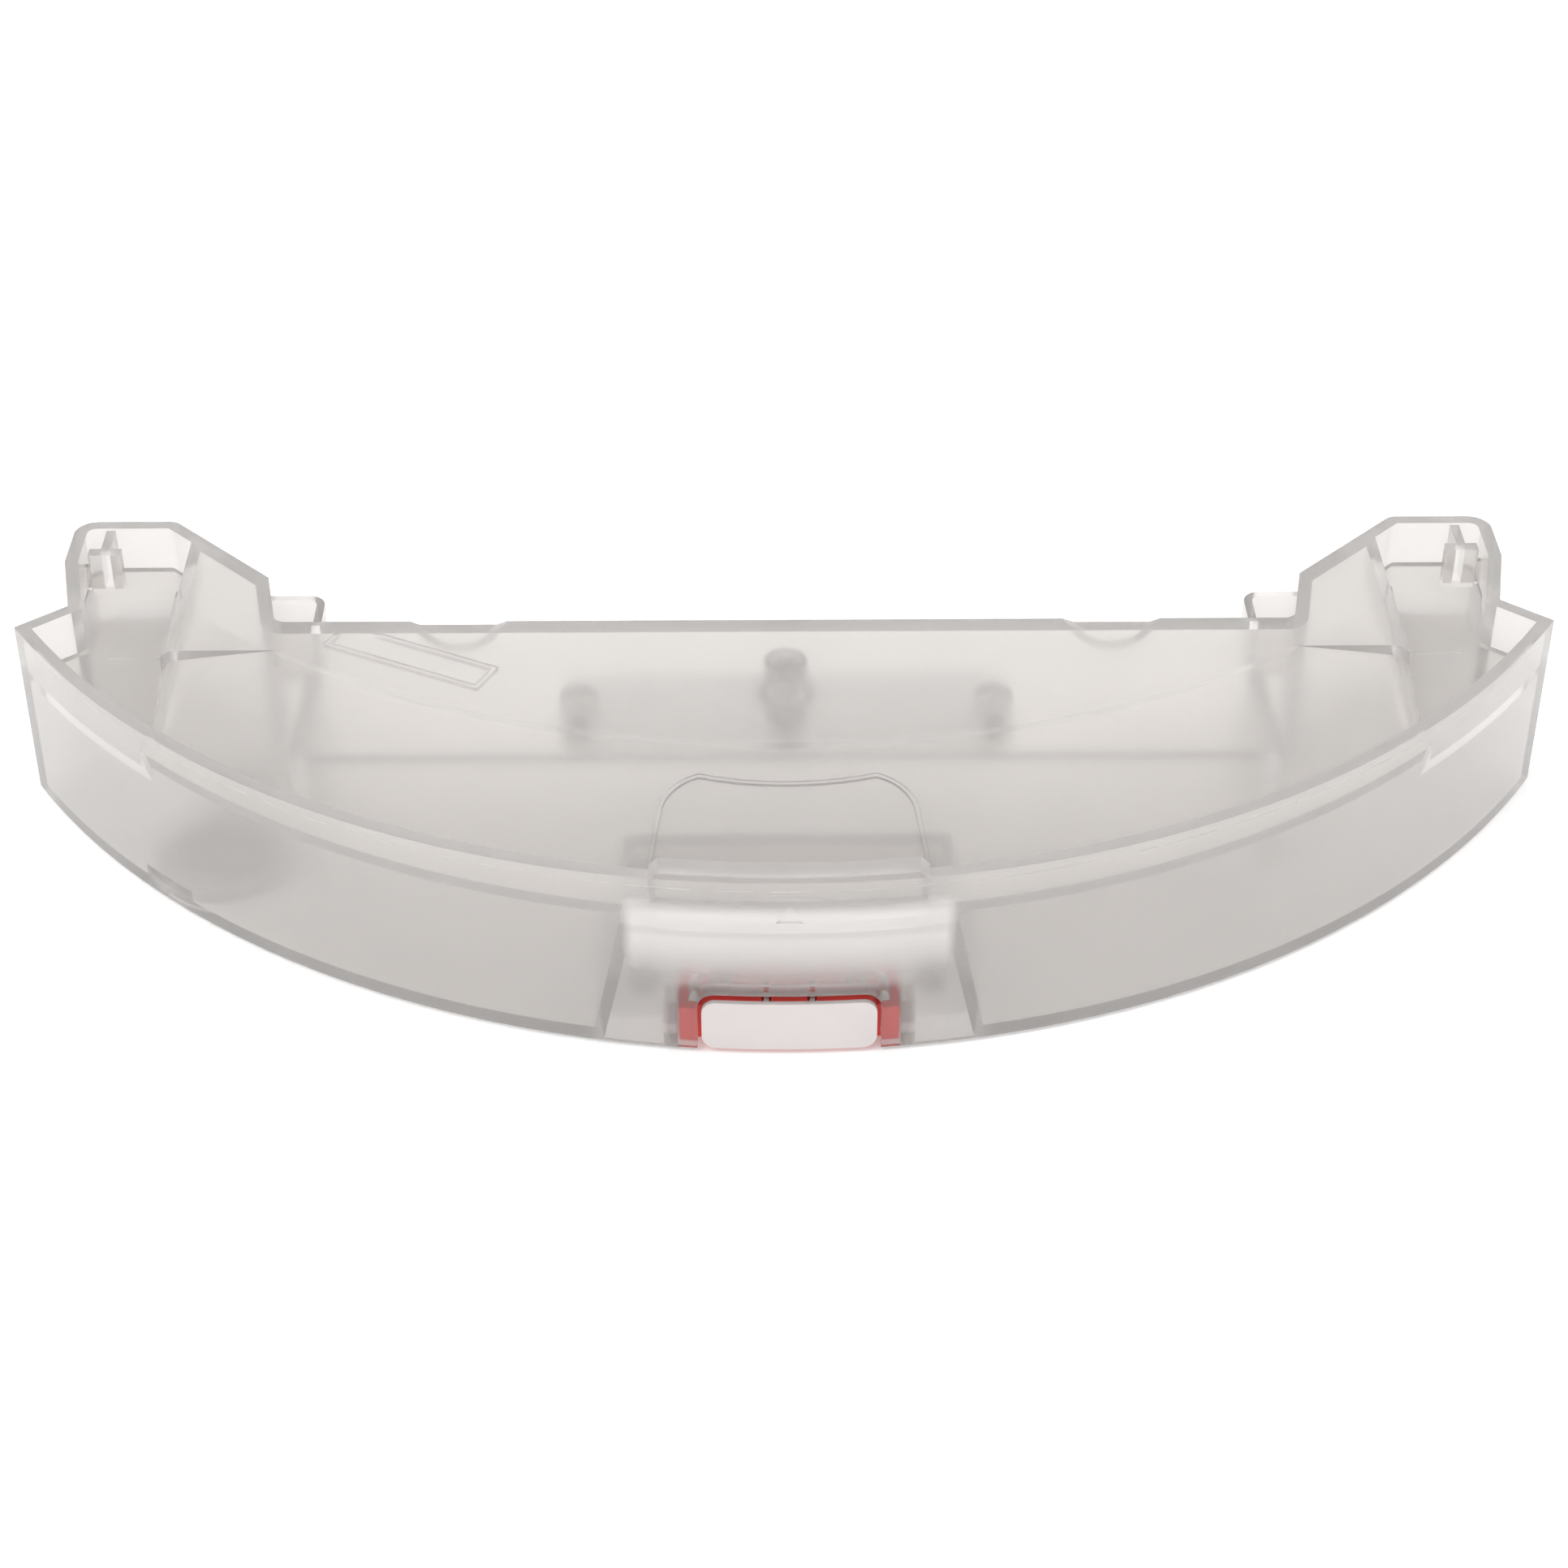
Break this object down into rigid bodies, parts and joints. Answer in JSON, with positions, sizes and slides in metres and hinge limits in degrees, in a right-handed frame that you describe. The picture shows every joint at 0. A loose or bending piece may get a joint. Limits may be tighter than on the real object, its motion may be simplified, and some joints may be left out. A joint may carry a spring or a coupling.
{
  "type": "robot vacuum water tank",
  "caption": "Crescent water tank for a mopping robot vacuum: frosted stepped shell, sloped mop-side cover, wing pockets, push-button latch and hinged rubber fill plug.",
  "frame": {"origin": "centre of the bounding box in plan, on the outer face of the real top plate, which lies down here", "axes": "+X to the right seen from the curved outer wall, +Y from the curved wall towards the robot, +Z from the real top plate to the mop side"},
  "size_m": [0.2958, 0.12, 0.0383],
  "materials": {
    "frosted_shell": "frosted translucent",
    "red_plastic": "satin",
    "button_plastic": "satin",
    "grey_rubber": "matte",
    "spring_steel": "bright drawn",
    "screw_steel": "satin",
    "filter_mesh": "fine punched"
  },
  "bodies": {
    "shell": {"tank_body": "frosted_shell", "mop_side_cover": "frosted_shell", "latch_retainer": "frosted_shell", "retainer_screw_left": "screw_steel", "retainer_screw_right": "screw_steel", "outlet_cover": "frosted_shell", "outlet_seal": "grey_rubber", "outlet_filter": "filter_mesh", "outlet_screw_left": "screw_steel", "outlet_screw_middle": "screw_steel", "outlet_screw_right": "screw_steel"},
    "latch": {"latch_slider": "red_plastic", "release_button": "button_plastic", "latch_spring_left": "spring_steel", "latch_spring_right": "spring_steel"},
    "plug": {"fill_plug": "grey_rubber"}
  },
  "joints": [
    {"name": "latch_lift", "type": "slide", "parent": "shell", "child": "latch", "axis": [0, 0, 1], "range_m": [0, 0.0016], "stiffness_N_per_m": 400, "springref_m": -0.002, "deforming": ["latch_spring_left", "latch_spring_right"]},
    {"name": "plug_hinge", "type": "hinge", "parent": "shell", "child": "plug", "pos_m": [-0.107, 0.017, 0.0013], "axis": [1, 0, 0], "range_deg": [0, 110]}
  ]
}
